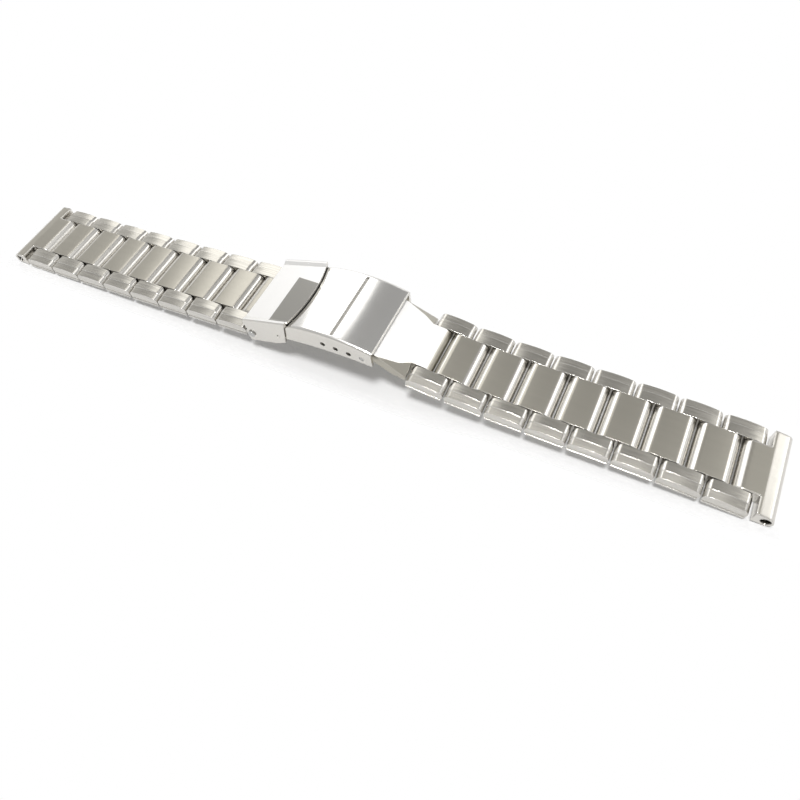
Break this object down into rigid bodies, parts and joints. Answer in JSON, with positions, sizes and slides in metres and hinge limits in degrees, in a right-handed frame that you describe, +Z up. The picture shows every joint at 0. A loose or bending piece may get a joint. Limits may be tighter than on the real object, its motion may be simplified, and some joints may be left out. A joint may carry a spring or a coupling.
{
  "type": "watch bracelet",
  "caption": "Three-row steel watch bracelet with staggered links, folding clasp, arched cover and safety catch, laid out as a low arch.",
  "frame": {"origin": "middle of the length and width, on the table that the two ends rest on", "axes": "+X along the bracelet towards the clasp link end with the adjusting holes, +Y across it, +Z up, away from the wrist"},
  "size_m": [0.1762, 0.019, 0.0123],
  "materials": {
    "bright_steel": "polished",
    "steel": "brushed and polished",
    "pin_steel": "turned"
  },
  "bodies": {
    "cover": {"clasp_cover": "bright_steel", "catch_rivets": "pin_steel", "spring_bar_right": "pin_steel"},
    "catch": {"safety_catch": "bright_steel"},
    "inner_blade": {"inner_blade": "steel", "blade_pins": "pin_steel"},
    "outer_blade": {"outer_blade": "steel", "clasp_pin_left": "pin_steel"},
    "clasp_link_right": {"clasp_link_right": "steel"},
    "clasp_link_left": {"clasp_link_left": "steel"},
    "right_1": {"outer_links_right_1": "steel", "center_link_right_1": "bright_steel", "pins_right_1": "pin_steel"},
    "right_2": {"outer_links_right_2": "steel", "center_link_right_2": "bright_steel", "pins_right_2": "pin_steel"},
    "right_3": {"outer_links_right_3": "steel", "center_link_right_3": "bright_steel", "pins_right_3": "pin_steel"},
    "right_4": {"outer_links_right_4": "steel", "center_link_right_4": "bright_steel", "pins_right_4": "pin_steel"},
    "right_5": {"outer_links_right_5": "steel", "center_link_right_5": "bright_steel", "pins_right_5": "pin_steel"},
    "right_6": {"outer_links_right_6": "steel", "center_link_right_6": "bright_steel", "pins_right_6": "pin_steel"},
    "right_7": {"outer_links_right_7": "steel", "center_link_right_7": "bright_steel", "pins_right_7": "pin_steel"},
    "right_8": {"outer_links_right_8": "steel", "end_link_right": "steel", "pins_right_8": "pin_steel"},
    "left_1": {"outer_links_left_1": "steel", "center_link_left_1": "bright_steel", "pins_left_1": "pin_steel"},
    "left_2": {"outer_links_left_2": "steel", "center_link_left_2": "bright_steel", "pins_left_2": "pin_steel"},
    "left_3": {"outer_links_left_3": "steel", "center_link_left_3": "bright_steel", "pins_left_3": "pin_steel"},
    "left_4": {"outer_links_left_4": "steel", "center_link_left_4": "bright_steel", "pins_left_4": "pin_steel"},
    "left_5": {"outer_links_left_5": "steel", "center_link_left_5": "bright_steel", "pins_left_5": "pin_steel"},
    "left_6": {"outer_links_left_6": "steel", "center_link_left_6": "bright_steel", "pins_left_6": "pin_steel"},
    "left_7": {"outer_links_left_7": "steel", "center_link_left_7": "bright_steel", "pins_left_7": "pin_steel"},
    "left_8": {"outer_links_left_8": "steel", "end_link_left": "steel", "pins_left_8": "pin_steel"}
  },
  "joints": [
    {"name": "catch_flip", "type": "hinge", "parent": "cover", "child": "catch", "pos_m": [-0.01694, 0, 0.0049], "axis": [0, -1, 0], "range_deg": [0, 40]},
    {"name": "fold_inner", "type": "hinge", "parent": "cover", "child": "inner_blade", "pos_m": [-0.01299, 0, 0.0073], "axis": [0, -1, 0], "range_deg": [-150, 0]},
    {"name": "fold_outer", "type": "hinge", "parent": "inner_blade", "child": "outer_blade", "pos_m": [0.00626, 0, 0.0065], "axis": [0, -1, 0], "range_deg": [0, 150]},
    {"name": "clasp_left_turn", "type": "hinge", "parent": "outer_blade", "child": "clasp_link_left", "pos_m": [-0.01694, 0, 0.0049], "axis": [0, -1, 0], "range_deg": [0, 18]},
    {"name": "clasp_right_turn", "type": "hinge", "parent": "cover", "child": "clasp_link_right", "pos_m": [0.00974, 0, 0.00886], "axis": [0, 1, 0], "range_deg": [0, 18]},
    {"name": "right_link_1_turn", "type": "hinge", "parent": "clasp_link_right", "child": "right_1", "pos_m": [0.02084, 0, 0.00602], "axis": [0, 1, 0], "range_deg": [0, 18]},
    {"name": "right_link_2_turn", "type": "hinge", "parent": "right_1", "child": "right_2", "pos_m": [0.02895, 0, 0.00495], "axis": [0, 1, 0], "range_deg": [0, 18]},
    {"name": "right_link_3_turn", "type": "hinge", "parent": "right_2", "child": "right_3", "pos_m": [0.0371, 0, 0.00429], "axis": [0, 1, 0], "range_deg": [0, 18]},
    {"name": "right_link_4_turn", "type": "hinge", "parent": "right_3", "child": "right_4", "pos_m": [0.04528, 0, 0.0039], "axis": [0, 1, 0], "range_deg": [0, 18]},
    {"name": "right_link_5_turn", "type": "hinge", "parent": "right_4", "child": "right_5", "pos_m": [0.05345, 0, 0.00364], "axis": [0, 1, 0], "range_deg": [0, 18]},
    {"name": "right_link_6_turn", "type": "hinge", "parent": "right_5", "child": "right_6", "pos_m": [0.06163, 0, 0.00336], "axis": [0, 1, 0], "range_deg": [0, 18]},
    {"name": "right_link_7_turn", "type": "hinge", "parent": "right_6", "child": "right_7", "pos_m": [0.06979, 0, 0.00293], "axis": [0, 1, 0], "range_deg": [0, 18]},
    {"name": "right_link_8_turn", "type": "hinge", "parent": "right_7", "child": "right_8", "pos_m": [0.07794, 0, 0.0022], "axis": [0, 1, 0], "range_deg": [0, 18]},
    {"name": "left_link_1_turn", "type": "hinge", "parent": "clasp_link_left", "child": "left_1", "pos_m": [-0.02072, 0, 0.00457], "axis": [0, -1, 0], "range_deg": [0, 18]},
    {"name": "left_link_2_turn", "type": "hinge", "parent": "left_1", "child": "left_2", "pos_m": [-0.02888, 0, 0.0041], "axis": [0, -1, 0], "range_deg": [0, 18]},
    {"name": "left_link_3_turn", "type": "hinge", "parent": "left_2", "child": "left_3", "pos_m": [-0.03705, 0, 0.00365], "axis": [0, -1, 0], "range_deg": [0, 18]},
    {"name": "left_link_4_turn", "type": "hinge", "parent": "left_3", "child": "left_4", "pos_m": [-0.04522, 0, 0.00322], "axis": [0, -1, 0], "range_deg": [0, 18]},
    {"name": "left_link_5_turn", "type": "hinge", "parent": "left_4", "child": "left_5", "pos_m": [-0.05339, 0, 0.00282], "axis": [0, -1, 0], "range_deg": [0, 18]},
    {"name": "left_link_6_turn", "type": "hinge", "parent": "left_5", "child": "left_6", "pos_m": [-0.06156, 0, 0.00244], "axis": [0, -1, 0], "range_deg": [0, 18]},
    {"name": "left_link_7_turn", "type": "hinge", "parent": "left_6", "child": "left_7", "pos_m": [-0.06973, 0, 0.00208], "axis": [0, -1, 0], "range_deg": [0, 18]},
    {"name": "left_link_8_turn", "type": "hinge", "parent": "left_7", "child": "left_8", "pos_m": [-0.07791, 0, 0.00174], "axis": [0, -1, 0], "range_deg": [0, 18]}
  ],
  "couplings": [
    {"joint": "fold_outer", "follows": "fold_inner", "ratio": -1}
  ]
}
